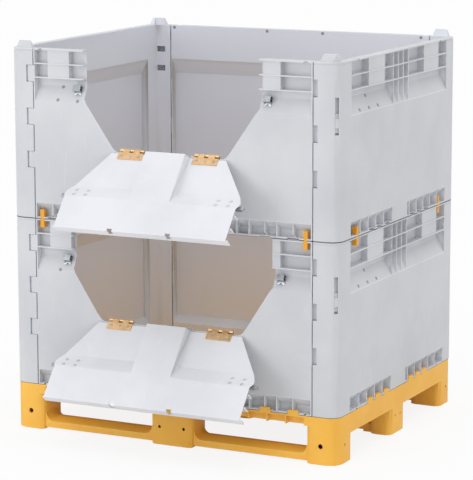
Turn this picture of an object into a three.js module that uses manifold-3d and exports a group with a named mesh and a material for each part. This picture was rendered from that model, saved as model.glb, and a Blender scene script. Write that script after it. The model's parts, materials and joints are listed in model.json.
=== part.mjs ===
// Foldable stackable pallet bin for order picking: two grey ring collars with a drop-down flap each,
// stacked on a yellow plastic pallet. Millimetres, +Z up, +X right along the front, +Y to the rear.
// The origin is the centre of the footprint on the floor. Both flaps hang open.
import * as THREE from "three";
import { mergeVertices } from "three/addons/utils/BufferGeometryUtils.js";
import Module from "manifold-3d";

const wasm = await Module();
wasm.setup();

// Whole bin
const binLength = 1200;
const binWidth = 1000;
const palletHeight = 156;
const collarHeight = 570;
const cornerRadius = 40;
const seatGap = 0.3;
const overrun = 1;
const arcSteps = 3;

// Section of a moulded collar wall: inwards from its outer plane, up from its foot and down from its top
const skin = 4;
const bandDepth = 26;
const lipThickness = 6;
const ribThickness = 4;
const footBandTop = 28;
const footSlopeTop = 54;
const mainDrop = 176;
const slopeDrop = 123;
const thirdRibDrop = 96;
const secondRibDrop = 50;

// Corner posts and hinged seams
const returnLength = 88;
const postLength = 96;
const seamGap = 4;
const endFlange = 4;
const pintleRadius = 4;
const pintleClearance = 0.5;
const pintleFacets = 6;
const knuckleHeight = 54;
const knuckleClearance = 1;
const knuckleSteps = 3;
const knuckleLevelShares = [0.348, 0.601, 0.853];
const columnWall = 4;
// Each seam's pin from the seam and the outer plane, its tongue's half thickness, and the nub beside it
const wideSeam = { setback: 16, inset: 11, radius: 9, nubStart: 6, nubLength: 59, nubWidth: 18 };
const narrowSeam = { setback: 6.5, inset: 19, radius: 6, nubStart: 20, nubLength: 62, nubWidth: 28 };
const lipGrooveDepth = 1.5;
const lipGrooveHeight = 4;
const windowWidth = 32;
const windowHeight = 20;
const windowInset = 50;
const windowDrops = [89, 159];

// Stacking nubs on the corner posts and on the pallet corners
const nubHeight = 24;
const nubDraft = 8;
const nubClearance = 2;

// Corner lock slides
const lockSlotWidth = 13;
const lockSlotHeight = 118;
const lockSlotDrop = 111;
const lockKnobDrop = 178;
const lockKnobHeight = 29;
const lockClearance = 0.4;
const lockPlateWidth = 20;
const lockPlateHeight = 60;
const lockPlateThickness = 3;
const lockPlateSetback = 2.6;
const lockBackingSetback = 7;
const lockBackingThickness = 2;
const lockBackingWidth = 48;
const lockBackingReach = 12;
const lockKnobRecess = 1;

// Pillars and ribs, as shares of half a long wall or half a side panel
const pillarRecess = 3;
const frontPillarShares = [[-0.897, -0.737], [0.661, 0.779]];
const sidePillarShares = [[-0.644, -0.322], [0.512, 0.834]];
const sideMiddleRibShares = [-0.156, -0.052, 0.052, 0.156];
const frontFootRibShares = [0.474, 0.563, 0.673, 0.756, 0.87];
const rearFootRibShares = [0.118, 0.276, 0.474, 0.673, 0.87];
const sideFrontFootRibShares = [-0.812, -0.653, -0.495, -0.337];
const sideRearFootRibShares = [0.208, 0.359, 0.51, 0.661, 0.812];
const sidePlainShare = 0.153;

// Channel up the middle of the front wall and of the flap
const channelHalf = 80;
const channelDraft = 8;

// Openings of the two front walls and their flaps
const hingeLevel = 250;
const wallEdgeDrop = 8;
const kneeLevel = 266;
const shoulderDrop = 161;
const kneeRounding = 12;
const upperOpening = { name: "upper", shoulderShare: 0.63, kneeHalf: 220, hingePlace: 137 };
const lowerOpening = { name: "lower", shoulderShare: 0.7245, kneeHalf: 275, hingePlace: 184 };
const flapOpenAngle = THREE.MathUtils.degToRad(141);
const flapEdgeRise = 14;
const flapTopDrop = 3;
const flapKneeClearance = 11;
const flapElbowClearance = 20;
const flapEarClearance = 4;
const flapRimClearance = 10;
const earDrop = 134;
const earHeight = 12;
const rimDrop = 118;
const flapNotchPlace = 105;
const flapNotchWidth = 18;
const flapNotchDepth = 10;
const flapNotchReach = 24;
const flapRibOverhang = 6;

// Brass butt hinges
const leafWidth = 90;
const leafHeight = 36;
const leafThickness = 2.2;
const leafSeat = 0.3;
const barrelBore = 2.4;
const pinRadius = 2;
const curlSteps = 6;
const pinFacets = 6;
const fixedKnuckleWidth = 14;
const knuckleGap = 0.35;
const leafSlotDepth = 6;

// Sliding bolts on the flap and their keepers on the front wall
const latchDrop = 140;
const boltRise = 8;
const latchInboard = 62;
const latchLength = 62;
const latchBaseWidth = 26;
const latchPlate = 2;
const latchEarHeight = 15;
const latchEarThickness = 3;
const latchEarHalf = 8;
const boltRadius = 4;
const boltHeight = 9.5;
const boltTipHalf = 7;
const boltTipThickness = 9;
const boltTipLength = 26;
const boltClearance = 0.4;
const boltFacets = 8;
const boltTipReach = 10;
const boltLength = 126;
const boltKnobRadius = 4;
const boltKnobHeight = 7;
const keeperGap = 13;
const keeperWidth = 27;
const keeperPlate = 2;
const keeperPocketHalf = 8;
const keeperBelow = 22;
const keeperAbove = 10;
const keeperPocketHeight = 15;
const keeperHoleRadius = 3;
const keeperHoleFacets = 6;

// Clips that join the two collars through their lips
const clipEndShare = 0.953;
const clipSideShare = 0.861;
const clipHeadWidth = 15;
const clipWaistWidth = 8;
const clipDepth = 17;
const clipHeadHeight = 24;
const clipInset = 1;
const clipClearance = 0.35;

// Pallet
const deckThickness = 32;
const deckPlate = 6;
const deckRib = 5;
const forkTop = palletHeight - deckThickness;
const railBottom = 90;
const railThickness = 10;
const footWall = 6;
const footRounding = 20;
const footRoundingSteps = 2;
const cornerFootLength = 114;
const cornerFootWidth = 122;
const endFootHalf = 80;
const endFootWidth = 105;
const sideFootLength = 78;
const sideFootHalf = 65;
const edgePocketDepth = 22;
const edgePocketCount = 6;
const underPocketColumns = 2;
const underPocketRows = 3;
const tabWidth = 40;
const tabHeight = 14;
const tabDepth = 12;
const tabClearance = 1;
const tabDraft = 3;
const endTabShares = [0.673, 0.87];
const footHoleHeight = 61;
const footHoleFacets = 6;
const cornerHoleRadius = 9;
const cornerHoleInset = 60;
const endHoleRadius = 5.5;
const endHolePlace = 45;
const sideHoleRadius = 5;
const sideHolePlace = 22;

// Runners under the pallet
const runnerSetback = 10;
const runnerWidth = 90;
const runnerEndInset = 44;
const runnerLift = 7;
const runnerEdgeTop = 29;
const runnerTop = 42;
const runnerBevel = 36;
const runnerClearance = 0.4;

// Finishes
const greyPlastic = new THREE.MeshStandardMaterial({ color: 0xd2d4d8, roughness: 0.55, metalness: 0 });
const flapPlastic = new THREE.MeshStandardMaterial({ color: 0xe4e6ea, roughness: 0.5, metalness: 0 });
const yellowPlastic = new THREE.MeshStandardMaterial({ color: 0xf4b23c, roughness: 0.5, metalness: 0 });
const orangePlastic = new THREE.MeshStandardMaterial({ color: 0xf29a1e, roughness: 0.45, metalness: 0 });
const brass = new THREE.MeshStandardMaterial({ color: 0xdba45c, roughness: 0.35, metalness: 1 });
const zinc = new THREE.MeshStandardMaterial({ color: 0xc6cacd, roughness: 0.35, metalness: 1 });

// Solids from three.js geometries
const axisX = new THREE.Vector3(1, 0, 0);
const axisY = new THREE.Vector3(0, 1, 0);
const axisZ = new THREE.Vector3(0, 0, 1);

function solidFrom(geometry) {
  const bare = geometry.index ? geometry.toNonIndexed() : geometry;
  bare.deleteAttribute("normal");
  bare.deleteAttribute("uv");
  const merged = mergeVertices(bare);
  return new wasm.Manifold(new wasm.Mesh({
    numProp: 3,
    vertProperties: Float32Array.from(merged.attributes.position.array),
    triVerts: Uint32Array.from(merged.index.array),
  }));
}

function join(solids) {
  return solids.reduce((whole, piece) => whole.add(piece));
}

function cut(whole, tools) {
  return tools.reduce((rest, tool) => rest.subtract(tool), whole);
}

function block(x0, x1, y0, y1, z0, z1) {
  const geometry = new THREE.BoxGeometry(x1 - x0, y1 - y0, z1 - z0);
  geometry.translate((x0 + x1) / 2, (y0 + y1) / 2, (z0 + z1) / 2);
  return solidFrom(geometry);
}

function extrusion(points, length) {
  const shape = new THREE.Shape(points.map(([a, b]) => new THREE.Vector2(a, b)));
  return new THREE.ExtrudeGeometry(shape, { depth: length, bevelEnabled: false, steps: 1 });
}

// A plan outline of x and y raised from z0 to z1
function raised(points, z0, z1) {
  const geometry = extrusion(points, z1 - z0);
  geometry.translate(0, 0, z0);
  return solidFrom(geometry);
}

// A section of y and z drawn out from x0 to x1
function drawnAlongX(points, x0, x1) {
  const geometry = extrusion(points, x1 - x0);
  geometry.applyMatrix4(new THREE.Matrix4().makeBasis(axisY, axisZ, axisX));
  geometry.translate(x0, 0, 0);
  return solidFrom(geometry);
}

// An outline of x and z drawn out from y0 to y1
function drawnAlongY(points, y0, y1) {
  const geometry = extrusion(points, y1 - y0);
  geometry.applyMatrix4(new THREE.Matrix4().makeBasis(axisX, axisZ, axisY.clone().negate()));
  geometry.translate(0, y1, 0);
  return solidFrom(geometry);
}

function uprightRound(radius, x, y, z0, z1, facets) {
  const geometry = new THREE.CylinderGeometry(radius, radius, z1 - z0, facets);
  geometry.rotateX(Math.PI / 2);
  geometry.translate(x, y, (z0 + z1) / 2);
  return solidFrom(geometry);
}

function crosswiseRound(radius, x0, x1, y, z, facets) {
  const geometry = new THREE.CylinderGeometry(radius, radius, x1 - x0, facets);
  geometry.rotateZ(Math.PI / 2);
  geometry.translate((x0 + x1) / 2, y, z);
  return solidFrom(geometry);
}

function lengthwiseRound(radius, x, y0, y1, z, facets) {
  const geometry = new THREE.CylinderGeometry(radius, radius, y1 - y0, facets);
  geometry.translate(x, (y0 + y1) / 2, z);
  return solidFrom(geometry);
}

function arc(centreX, centreY, radius, from, to, steps) {
  const points = [];
  for (let step = 0; step <= steps; step += 1) {
    const angle = from + (to - from) * step / steps;
    points.push([centreX + radius * Math.cos(angle), centreY + radius * Math.sin(angle)]);
  }
  return points;
}

function roundedPlan(x0, x1, y0, y1, radii, steps) {
  const [frontLeft, frontRight, rearRight, rearLeft] = radii;
  const quarter = Math.PI / 2;
  return [
    ...arc(x0 + frontLeft, y0 + frontLeft, frontLeft, -2 * quarter, -quarter, steps),
    ...arc(x1 - frontRight, y0 + frontRight, frontRight, -quarter, 0, steps),
    ...arc(x1 - rearRight, y1 - rearRight, rearRight, 0, quarter, steps),
    ...arc(x0 + rearLeft, y1 - rearLeft, rearLeft, quarter, 2 * quarter, steps),
  ];
}

function mirrored(points) {
  return [...points, ...points.map(([x, z]) => [-x, z]).reverse()];
}

function part(name, solid, material) {
  const { vertProperties, triVerts } = solid.getMesh();
  const geometry = new THREE.BufferGeometry();
  geometry.setAttribute("position", new THREE.Float32BufferAttribute(Array.from(vertProperties), 3));
  geometry.setIndex(Array.from(triVerts));
  geometry.computeVertexNormals();
  const mesh = new THREE.Mesh(geometry, material.clone());
  mesh.name = name;
  return mesh;
}

// Collar walls
const frontPlane = -binWidth / 2;
const sidePlane = binLength / 2;
const innerDepth = bandDepth + skin;
const returnEnd = sidePlane - returnLength;
const wallEnd = returnEnd - seamGap;
const postEnd = binWidth / 2 - postLength;
const mainTop = collarHeight - mainDrop;
const slopeTop = collarHeight - slopeDrop;
const ribLevels = [collarHeight - thirdRibDrop, collarHeight - secondRibDrop];
const alongWall = (shares) => shares.map((share) => share * wallEnd);
const alongSide = (shares) => shares.map((share) => share * postEnd);
const shoulderHalf = ({ shoulderShare }) => shoulderShare * wallEnd;
const knuckleLevels = knuckleLevelShares.map((share) => share * collarHeight);

function wallSection(bottom, top, hasFoot) {
  const foot = hasFoot
    ? [[0, bottom], [0, lipThickness], [bandDepth, lipThickness], [bandDepth, footBandTop], [0, footSlopeTop]]
    : [[0, bottom]];
  const footInside = hasFoot
    ? [[skin, footSlopeTop], [innerDepth, footBandTop], [innerDepth, bottom]]
    : [[skin, bottom]];
  const ribs = ribLevels.flatMap((level) => [
    [bandDepth, level - ribThickness / 2],
    [0, level - ribThickness / 2],
    [0, level + ribThickness / 2],
    [bandDepth, level + ribThickness / 2],
  ]);
  return [
    ...foot,
    [0, mainTop],
    [bandDepth, slopeTop],
    ...ribs,
    [bandDepth, top - lipThickness],
    [0, top - lipThickness],
    [0, top],
    [innerDepth, top],
    [innerDepth, slopeTop],
    [skin, mainTop],
    ...footInside,
  ];
}

function atFront(section) {
  return section.map(([depth, level]) => [frontPlane + depth, level]);
}

function atSide(section) {
  return section.map(([depth, level]) => [sidePlane - depth, level]);
}

// The space between the outer plane and the slope and top band, which upright ribs fill
function headRib() {
  const depth = bandDepth + overrun;
  return [[0, mainTop], [depth, slopeTop], [depth, collarHeight], [0, collarHeight]];
}

// The space between the outer plane and the foot band, which the foot ribs fill
function footRib() {
  return [[0, 0], [bandDepth + overrun, 0], [bandDepth + overrun, footBandTop], [0, footSlopeTop]];
}

function frontRibs(places, outline) {
  return places.map((place) => drawnAlongX(
    atFront(outline), place - ribThickness / 2, place + ribThickness / 2));
}

function sideRibs(places, outline) {
  return places.map((place) => drawnAlongY(
    atSide(outline).reverse(), place - ribThickness / 2, place + ribThickness / 2));
}

function bothSides(places) {
  return places.flatMap((place) => [place, -place]);
}

// Notches in the lips for the clips: wide in the top lip, narrow in the foot lip
function clipNotch(place, width, bottom, top) {
  return block(
    place - width / 2 - clipClearance, place + width / 2 + clipClearance,
    frontPlane - overrun, frontPlane + clipInset + clipDepth + clipClearance, bottom, top);
}

function clipNotches(place) {
  return [
    clipNotch(place, clipHeadWidth, collarHeight - lipThickness - overrun, collarHeight + overrun),
    clipNotch(place, clipWaistWidth, -overrun, lipThickness + overrun),
  ];
}

// Room in the foot of a wall for the pallet's tabs
function tabNotch(place) {
  return block(
    place - tabWidth / 2 - tabClearance, place + tabWidth / 2 + tabClearance,
    frontPlane - overrun, frontPlane + tabDepth + tabClearance, -overrun, tabHeight + tabClearance);
}

function pinAxis({ setback, inset }) {
  return [returnEnd + setback, frontPlane + inset];
}

// Tongues with a half-round end on the right seam, which reach into the notches of a return
function seamTongues(seam) {
  const [x, y] = pinAxis(seam);
  const half = Math.PI / 2;
  const outline = [
    [wallEnd - endFlange, y - seam.radius],
    ...arc(x, y, seam.radius, -half, half, knuckleSteps),
    [wallEnd - endFlange, y + seam.radius],
  ];
  return knuckleLevels.map((level) => raised(outline, level - knuckleHeight / 2, level + knuckleHeight / 2));
}

function seamBore(seam) {
  const [x, y] = pinAxis(seam);
  return uprightRound(pintleRadius + pintleClearance, x, y, 0, collarHeight, pintleFacets);
}

function endFlanges() {
  return [1, -1].map((side) => {
    const outer = side * wallEnd;
    const inner = side * (wallEnd - endFlange);
    return block(
      Math.min(outer, inner), Math.max(outer, inner), frontPlane, frontPlane + innerDepth, 0, collarHeight);
  });
}

// A box that fills the head band between third rib and top lip, with its face set back from the rib edges
function pillar([x0, x1]) {
  return block(
    x0, x1, frontPlane + pillarRecess, frontPlane + innerDepth, ribLevels[0], collarHeight);
}

// The hollow behind a pillar's face, open downwards under the third rib
function pillarHollow([x0, x1]) {
  return block(
    x0 + skin, x1 - skin, frontPlane + pillarRecess + skin, frontPlane + bandDepth,
    ribLevels[0] - ribThickness, collarHeight - lipThickness);
}

// A plain long wall without its opening, with its pillars, ribs, flanges and tongues
function longWall(footRibShares) {
  const pillars = frontPillarShares.map(alongWall);
  const whole = join([
    drawnAlongX(atFront(wallSection(0, collarHeight, true)), -wallEnd, wallEnd),
    ...endFlanges(),
    ...seamTongues(narrowSeam),
    ...seamTongues(wideSeam).map(mirrorX),
    ...frontRibs(bothSides(alongWall(footRibShares)), footRib()),
    ...pillars.map(pillar),
  ]);
  return cut(whole, [
    ...pillars.map(pillarHollow),
    seamBore(narrowSeam),
    mirrorX(seamBore(wideSeam)),
    ...bothSides(alongWall([clipEndShare])).flatMap(clipNotches),
    ...bothSides(alongWall(endTabShares)).map(tabNotch),
  ]);
}

// The opening's right edge, from its foot to above the top lip
function openingEdge(opening) {
  const { kneeHalf } = opening;
  const sill = hingeLevel - wallEdgeDrop;
  return [
    [kneeHalf - 2 * kneeRounding, sill],
    [kneeHalf - kneeRounding, sill + (kneeLevel - sill) / 3],
    [kneeHalf, kneeLevel],
    [shoulderHalf(opening), collarHeight - shoulderDrop],
    [shoulderHalf(opening), collarHeight + overrun],
  ];
}

// A raised channel: a trough open to the outside, as wide as its mouth at the outer plane
function channel(bottom, top, grow, depth) {
  const half = channelHalf + grow;
  const outline = [
    [-half, frontPlane - grow], [half, frontPlane - grow],
    [half - channelDraft, frontPlane + depth], [-half + channelDraft, frontPlane + depth],
  ];
  return raised(outline, bottom, top);
}

function frontWall(opening) {
  const sill = hingeLevel - wallEdgeDrop;
  const outline = mirrored(openingEdge(opening));
  const mouth = drawnAlongY(outline, frontPlane - overrun, frontPlane + innerDepth + overrun);
  const trough = channel(lipThickness, sill, 0, innerDepth);
  const hollow = channel(lipThickness + skin, sill + overrun, -skin, bandDepth);
  const outside = block(
    -channelHalf, channelHalf, frontPlane - overrun, frontPlane + skin, lipThickness + skin, sill + overrun);
  const groove = hollow.add(outside.intersect(channel(0, collarHeight, -skin, innerDepth)));
  return cut(longWall(frontFootRibShares).subtract(mouth).add(trough), [groove]);
}

function rearWall() {
  return longWall(rearFootRibShares);
}

function notchDepth({ setback, radius }) {
  return setback + radius + knuckleClearance;
}

// The right side wall with its two corner posts; the left one is the same moulding turned round
function postOutline(grow, front) {
  const radius = cornerRadius + grow;
  const corner = arc(
    sidePlane - cornerRadius, frontPlane + cornerRadius, radius, -Math.PI / 2, 0, arcSteps);
  const inner = [
    [sidePlane - innerDepth - grow, -postEnd + grow],
    [sidePlane - innerDepth - grow, frontPlane + innerDepth + grow],
  ];
  return [
    [front, frontPlane - grow],
    ...corner,
    [sidePlane + grow, -postEnd + grow],
    ...inner,
    [front, frontPlane + innerDepth + grow],
  ];
}

function post(seam) {
  const hollowStart = returnEnd + notchDepth(seam) + columnWall;
  const shell = raised(postOutline(0, returnEnd), 0, collarHeight);
  const hollow = raised(postOutline(-skin, hollowStart), -overrun, collarHeight - lipThickness);
  const socket = block(
    returnEnd + seam.nubStart - nubClearance, hollowStart + overrun,
    frontPlane + skin, frontPlane + bandDepth, -overrun, nubHeight + nubClearance);
  const reach = knuckleHeight / 2 + knuckleClearance;
  const [x, y] = pinAxis(seam);
  const notches = knuckleLevels.map((level) => block(
    returnEnd - overrun, returnEnd + notchDepth(seam),
    frontPlane - overrun, y + seam.radius + knuckleClearance, level - reach, level + reach));
  const pins = knuckleLevels.map((level) => uprightRound(
    pintleRadius, x, y, level - reach - overrun, level + reach + overrun, pintleFacets));
  return join([cut(shell, [hollow, socket, lipGroove(), ...notches]), ...pins, nub(collarHeight, seam)]);
}

// The shadow groove that carries the line of the top lip round the outside of a post
function lipGroove() {
  const top = collarHeight - lipThickness;
  const bottom = top - lipGrooveHeight;
  const kept = raised(postOutline(-lipGrooveDepth, returnEnd), bottom - overrun, top + overrun);
  const inside = block(
    returnEnd - overrun, sidePlane - innerDepth / 2, frontPlane + innerDepth / 2, -postEnd + overrun,
    bottom - overrun, top + overrun);
  return cut(raised(postOutline(overrun, returnEnd), bottom, top), [kept, inside]);
}

// Two windows in the inner face of a return, open to the hollow of its post
function returnWindows() {
  const place = sidePlane - windowInset;
  return windowDrops.map((drop) => block(
    place - windowWidth / 2, place + windowWidth / 2,
    frontPlane + bandDepth - overrun, frontPlane + innerDepth + overrun,
    collarHeight - drop - windowHeight / 2, collarHeight - drop + windowHeight / 2));
}

function taperedNub(x0, x1, y0, y1, base) {
  const foot = [[x0, base], [x1, base], [x1 - nubDraft, base + nubHeight], [x0 + nubDraft, base + nubHeight]];
  const side = [[y0, base], [y1, base], [y1 - nubDraft, base + nubHeight], [y0 + nubDraft, base + nubHeight]];
  return drawnAlongY(foot, y0, y1).intersect(drawnAlongX(side, x0, x1));
}

// Nub on a post, inside the outline of the hollow that it stands in
function nub(base, { nubStart, nubLength, nubWidth }) {
  const x0 = returnEnd + nubStart;
  const y0 = frontPlane + skin + nubClearance;
  const outline = postOutline(-skin - nubClearance / 2, returnEnd);
  return taperedNub(x0, x0 + nubLength, y0, y0 + nubWidth, base)
    .intersect(raised(outline, base - overrun, base + nubHeight + overrun));
}

function mirrorX(solid) {
  return solid.mirror([1, 0, 0]);
}

function mirrorY(solid) {
  return solid.mirror([0, 1, 0]);
}

// The upright slot of the lock slide, cut square to the rounded corner
function lockFrame(solid) {
  const centre = new THREE.Vector3(sidePlane - cornerRadius, frontPlane + cornerRadius, 0);
  const matrix = new THREE.Matrix4().makeRotationZ(Math.PI / 4).setPosition(centre);
  return solid.transform(matrix.elements);
}

function lockSlot() {
  const top = collarHeight - lockSlotDrop;
  return lockFrame(block(
    -lockSlotWidth / 2, lockSlotWidth / 2, -cornerRadius - overrun, -cornerRadius + skin + lockPlateSetback,
    top - lockSlotHeight, top));
}

// A web across the inside of the corner, which closes the view through the slot behind the slide
function lockBacking() {
  const y = -cornerRadius + skin + lockBackingSetback;
  const top = collarHeight - lockSlotDrop;
  return lockFrame(block(
    -lockBackingWidth / 2, lockBackingWidth / 2, y, y + lockBackingThickness,
    top - lockSlotHeight - lockBackingReach, top + lockBackingReach));
}

function lockSlide() {
  const face = -cornerRadius + lockKnobRecess;
  const back = -cornerRadius + skin + lockPlateSetback;
  const knobTop = collarHeight - lockKnobDrop;
  const plateTop = knobTop + (lockPlateHeight - lockKnobHeight) / 2;
  const knob = block(
    -lockSlotWidth / 2 + lockClearance, lockSlotWidth / 2 - lockClearance, face, back + overrun,
    knobTop - lockKnobHeight, knobTop);
  const plate = block(
    -lockPlateWidth / 2, lockPlateWidth / 2, back, back + lockPlateThickness,
    plateTop - lockPlateHeight, plateTop);
  return lockFrame(knob.add(plate));
}

function sideWall() {
  const pillars = sidePillarShares.map(alongSide);
  const footPlaces = alongSide(
    [...sideFrontFootRibShares, ...sideRearFootRibShares, -sidePlainShare, sidePlainShare]);
  const sidePlainHalf = sidePlainShare * postEnd;
  const panel = drawnAlongY(
    atSide(wallSection(0, collarHeight, true)).reverse(), -postEnd - skin / 2, postEnd + skin / 2);
  const plainFoot = block(
    sidePlane - skin, sidePlane, -sidePlainHalf, sidePlainHalf, 0, footSlopeTop + overrun);
  const whole = join([
    panel,
    plainFoot,
    post(narrowSeam),
    mirrorY(post(wideSeam)),
    lockBacking(),
    ...pillars.map(pillar).map(turnedToSide),
    ...sideRibs(alongSide(sideMiddleRibShares), headRib()),
    ...sideRibs(footPlaces, footRib()),
  ]);
  const footMouth = block(
    sidePlane - bandDepth, sidePlane - skin,
    -sidePlainHalf + ribThickness / 2, sidePlainHalf - ribThickness / 2, -overrun, lipThickness + overrun);
  return cut(whole, [
    ...pillars.map(pillarHollow).map(turnedToSide),
    footMouth,
    lockSlot(),
    ...returnWindows(),
    ...bothSides(alongSide([clipSideShare])).flatMap(sideClipNotches),
    ...sideTabPlaces().map(sideTabNotch),
  ]);
}

function turnedToSide(solid) {
  const shift = new THREE.Matrix4().makeTranslation(sidePlane + frontPlane, 0, 0);
  return solid.transform(shift.multiply(new THREE.Matrix4().makeRotationZ(Math.PI / 2)).elements);
}

function sideClipNotches(place) {
  return clipNotches(place).map(turnedToSide);
}

function sideTabNotch(place) {
  return turnedToSide(tabNotch(place));
}

// The pallet's side tabs stand midway between neighbouring foot ribs
function sideTabPlaces() {
  const between = (shares) => shares.slice(1).map((share, index) => postEnd * (share + shares[index]) / 2);
  return [
    ...between([...sideFrontFootRibShares.slice(1), -sidePlainShare]),
    ...between(sideRearFootRibShares.slice(0, -1)),
  ];
}

// Flap, drawn shut in the plane of the front wall
function flapEdge(opening) {
  const reach = shoulderHalf(opening);
  const earTop = collarHeight - earDrop;
  return [
    [opening.kneeHalf - flapKneeClearance, hingeLevel + flapEdgeRise],
    [reach - flapElbowClearance, mainTop],
    [reach - flapEarClearance, earTop - earHeight],
    [reach - flapEarClearance, earTop],
    [reach - flapRimClearance, collarHeight - rimDrop],
    [reach - flapRimClearance, collarHeight - flapTopDrop],
  ];
}

function flap(opening) {
  const bottom = hingeLevel + flapEdgeRise;
  const top = collarHeight - flapTopDrop;
  const reach = shoulderHalf(opening);
  const stepped = drawnAlongX(atFront(wallSection(bottom, top, false)), -reach, reach);
  const outline = drawnAlongY(
    mirrored(flapEdge(opening)), frontPlane - overrun, frontPlane + innerDepth + overrun);
  const trough = channel(bottom, slopeTop, 0, innerDepth);
  const groove = channel(bottom - overrun, slopeTop - skin, -skin, bandDepth);
  const inside = frontPlane + innerDepth;
  const notches = bothSides([flapNotchPlace]).map((place) => block(
    place - flapNotchWidth / 2, place + flapNotchWidth / 2,
    inside - flapNotchReach, inside + overrun, top - flapNotchDepth, top + overrun));
  const barHalf = reach - flapRimClearance + flapRibOverhang;
  const bar = (z0, z1) => block(-barHalf, barHalf, frontPlane, frontPlane + bandDepth, z0, z1);
  const ribs = ribLevels.map((level) => bar(level - ribThickness / 2, level + ribThickness / 2));
  const whole = join([stepped.intersect(outline), trough, ...ribs, bar(top - lipThickness, top)]);
  return cut(whole, [groove, ...notches]);
}

// Brass hinge, drawn about its own axis with the leaf standing up from it
const barrelRadius = skin / 2 + leafSeat + leafThickness;

function fixedKnuckles() {
  return [-1, 0, 1].map((step) => {
    const centre = step * (leafWidth - fixedKnuckleWidth) / 2;
    return [centre - fixedKnuckleWidth / 2, centre + fixedKnuckleWidth / 2];
  });
}

function movingKnuckles() {
  const fixed = fixedKnuckles();
  return fixed.slice(1).map(([start], index) => [fixed[index][1] + knuckleGap, start - knuckleGap]);
}

// A leaf with its knuckles: each knuckle is a barrel drawn in one outline with the tongue that curls into it
function leaf(own, direction) {
  const inner = barrelRadius - leafThickness;
  const root = barrelRadius + knuckleGap;
  const plate = block(
    -leafWidth / 2, leafWidth / 2, inner, barrelRadius,
    Math.min(direction * root, direction * leafHeight), Math.max(direction * root, direction * leafHeight));
  const curl = [
    [barrelRadius, direction * (root + leafThickness)],
    [inner, direction * (root + leafThickness)],
    ...arc(0, 0, barrelRadius, direction * Math.PI / 3, direction * 2 * Math.PI, curlSteps),
  ];
  const knuckles = own.map(([x0, x1]) => drawnAlongX(direction > 0 ? curl : curl.reverse(), x0, x1));
  return join([plate, ...knuckles]);
}

// The flap's leaf turns on the pin and is slotted for the fixed knuckles
function flapLeaf() {
  const bore = crosswiseRound(barrelBore, -leafWidth, leafWidth, 0, 0, pinFacets);
  const slots = fixedKnuckles().map(([x0, x1]) => block(
    x0 - knuckleGap, x1 + knuckleGap, -barrelRadius, barrelRadius + overrun, 0, barrelRadius + leafSlotDepth));
  return cut(leaf(movingKnuckles(), 1), [bore, ...slots]);
}

// The wall's leaf with the pin that is pressed into its barrels
function wallLeaf() {
  const pin = crosswiseRound(pinRadius, -leafWidth / 2, leafWidth / 2, 0, 0, pinFacets);
  return leaf(fixedKnuckles(), -1).add(pin);
}

// Bolt latch, drawn on the slope: z runs up the slope, -y stands out from it
const slopeAngle = Math.atan2(bandDepth, slopeTop - mainTop);
const latchLevel = collarHeight - latchDrop;
const latchDepth = bandDepth * (latchLevel - mainTop) / (slopeTop - mainTop);

function latchHousing() {
  const base = block(
    -latchLength / 2, latchLength / 2, -seatGap - latchPlate, -seatGap,
    -latchBaseWidth / 2, latchBaseWidth / 2);
  const ears = [1, -1].map((side) => {
    const outer = side * latchLength / 2;
    const inner = outer - side * latchEarThickness;
    return block(
      Math.min(inner, outer), Math.max(inner, outer), -seatGap - latchEarHeight, -seatGap,
      boltRise - latchEarHalf, boltRise + latchEarHalf);
  });
  const bore = crosswiseRound(
    boltRadius + boltClearance, -latchLength, latchLength, -boltHeight, boltRise, boltFacets);
  return cut(join([base, ...ears]), [bore]);
}

// The bolt of the right latch; its tip points to +x
function latchBolt() {
  const tip = latchInboard + boltTipReach;
  const rod = crosswiseRound(boltRadius, tip - boltLength, tip, -boltHeight, boltRise, boltFacets);
  const head = block(
    tip - boltTipLength, tip, -boltHeight - boltTipThickness / 2, -boltHeight + boltTipThickness / 2,
    boltRise - boltTipHalf, boltRise + boltTipHalf);
  const knob = lengthwiseRound(
    boltKnobRadius, 0, -boltHeight - boltRadius - boltKnobHeight / 2, -boltHeight, boltRise, boltFacets);
  return join([rod, head, knob]);
}

// Keeper on the wall's slope: a plate with a bridge that takes the thrown bolt
function keeper() {
  const face = -seatGap - keeperPlate;
  const plate = block(0, keeperWidth, face, -seatGap, boltRise - keeperBelow, boltRise + keeperAbove);
  const half = keeperPocketHalf + keeperPlate;
  const bridge = block(
    0, keeperWidth, face - keeperPocketHeight - keeperPlate, -seatGap, boltRise - half, boltRise + half);
  const pocket = block(
    -overrun, keeperWidth + overrun, face - keeperPocketHeight, face,
    boltRise - keeperPocketHalf, boltRise + keeperPocketHalf);
  const holeRise = boltRise - (keeperBelow + half) / 2;
  const hole = lengthwiseRound(
    keeperHoleRadius, keeperWidth / 2, face - overrun, overrun, holeRise, keeperHoleFacets);
  return cut(plate.add(bridge), [pocket, hole]);
}

// Clip: a head over the upper collar's foot lip and a straight leg through the lower collar's top lip
function clip() {
  const half = clipHeadWidth / 2;
  const waist = clipWaistWidth / 2;
  const outline = mirrored([
    [half, -lipThickness - clipHeadHeight],
    [half, -seatGap],
    [waist, -seatGap],
    [waist, lipThickness + clipClearance],
    [half, lipThickness + clipClearance],
    [half, lipThickness + clipHeadHeight],
  ]);
  return drawnAlongY(outline, frontPlane + clipInset, frontPlane + clipInset + clipDepth);
}

// Pallet
function footPlans() {
  const r = footRounding;
  const corner = roundedPlan(
    sidePlane - cornerFootLength, sidePlane, frontPlane, frontPlane + cornerFootWidth,
    [r, cornerRadius, r, r], footRoundingSteps);
  const end = roundedPlan(
    -endFootHalf, endFootHalf, frontPlane, frontPlane + endFootWidth, [r, r, r, r], footRoundingSteps);
  const side = roundedPlan(
    sidePlane - sideFootLength, sidePlane, -sideFootHalf, sideFootHalf, [r, r, r, r], footRoundingSteps);
  const middle = roundedPlan(
    -endFootHalf, endFootHalf, -sideFootHalf, sideFootHalf, [r, r, r, r], footRoundingSteps);
  return { corner, end, side, middle };
}

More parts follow.
